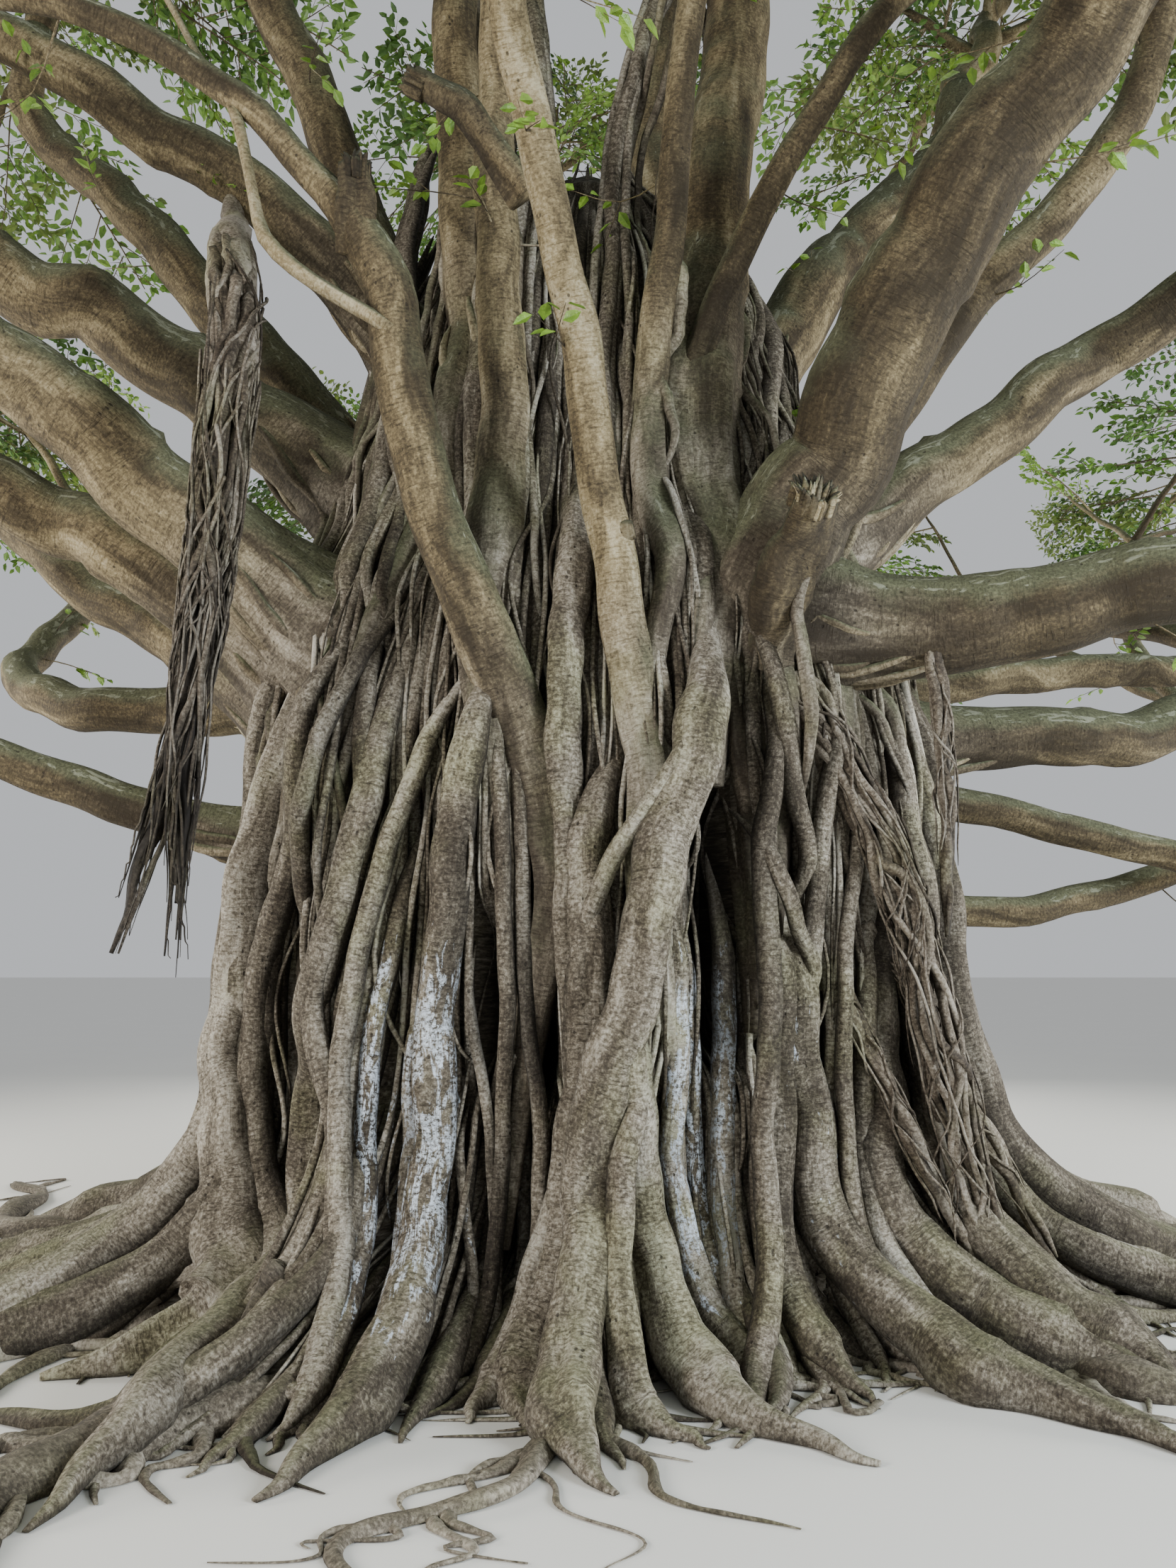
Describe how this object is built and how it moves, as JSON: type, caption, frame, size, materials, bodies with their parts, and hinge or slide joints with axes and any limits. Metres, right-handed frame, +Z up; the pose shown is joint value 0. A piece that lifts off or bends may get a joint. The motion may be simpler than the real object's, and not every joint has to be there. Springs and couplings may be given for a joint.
{
  "type": "banyan tree",
  "caption": "Whole banyan tree: a broad trunk of fused aerial roots, hanging roots, long boughs and a wide spreading crown, standing on a flat cut at ground level.",
  "frame": {"origin": "middle of the trunk's flat cut at ground level", "axes": "+Z up, -Y towards someone facing the front of the tree, +X to their right"},
  "size_m": [20.4756, 20.9992, 13.0614],
  "materials": {
    "trunk_bark": "grey-brown fused roots",
    "bough_bark": "orange-brown bark, mossy on top",
    "aerial_root_bark": "dark wrapped rootlets",
    "surface_root_bark": "weathered grey-brown bark",
    "leaf": "smooth green leaves"
  },
  "bodies": {
    "root": {"trunk": "trunk_bark", "bough_left_front": "bough_bark", "bough_left": "bough_bark", "bough_left_back": "bough_bark", "bough_left_high": "bough_bark", "bough_left_back_high": "bough_bark", "leader_left": "bough_bark", "bough_right_front": "bough_bark", "bough_right": "bough_bark", "bough_right_arched": "bough_bark", "bough_right_level": "bough_bark", "bough_right_back": "bough_bark", "bough_back_right": "bough_bark", "bough_back_high": "bough_bark", "bough_back": "bough_bark", "bough_front": "bough_bark", "bough_front_upright": "bough_bark", "leader_right": "bough_bark", "leader_back": "bough_bark", "side_bough_front_left": "bough_bark", "side_bough_left_low": "bough_bark", "side_bough_left_level": "bough_bark", "side_bough_left_steep": "bough_bark", "side_bough_left_upright": "bough_bark", "side_bough_right_high": "bough_bark", "side_bough_right_low": "bough_bark", "side_bough_right_drooping": "bough_bark", "side_bough_front_upright": "bough_bark", "side_bough_front_thin": "bough_bark", "aerial_root_left": "aerial_root_bark", "aerial_root_right": "aerial_root_bark", "prop_root_twisted": "aerial_root_bark", "prop_root_straight": "aerial_root_bark", "prop_root_outer": "aerial_root_bark", "surface_root_front": "surface_root_bark", "surface_root_front_left": "surface_root_bark", "surface_root_left": "surface_root_bark", "surface_root_left_back": "surface_root_bark", "surface_root_back": "surface_root_bark", "surface_root_back_right": "surface_root_bark", "surface_root_right_back": "surface_root_bark", "surface_root_right_front": "surface_root_bark", "foliage_low_1": "leaf", "foliage_low_2": "leaf", "foliage_low_3": "leaf", "foliage_low_4": "leaf", "foliage_low_5": "leaf", "foliage_low_6": "leaf", "foliage_low_7": "leaf", "foliage_low_8": "leaf", "foliage_low_9": "leaf", "foliage_mid_1": "leaf", "foliage_mid_2": "leaf", "foliage_mid_3": "leaf", "foliage_mid_4": "leaf", "foliage_mid_5": "leaf", "foliage_mid_6": "leaf", "foliage_top_1": "leaf", "foliage_top_2": "leaf", "foliage_top_3": "leaf"}
  },
  "joints": []
}
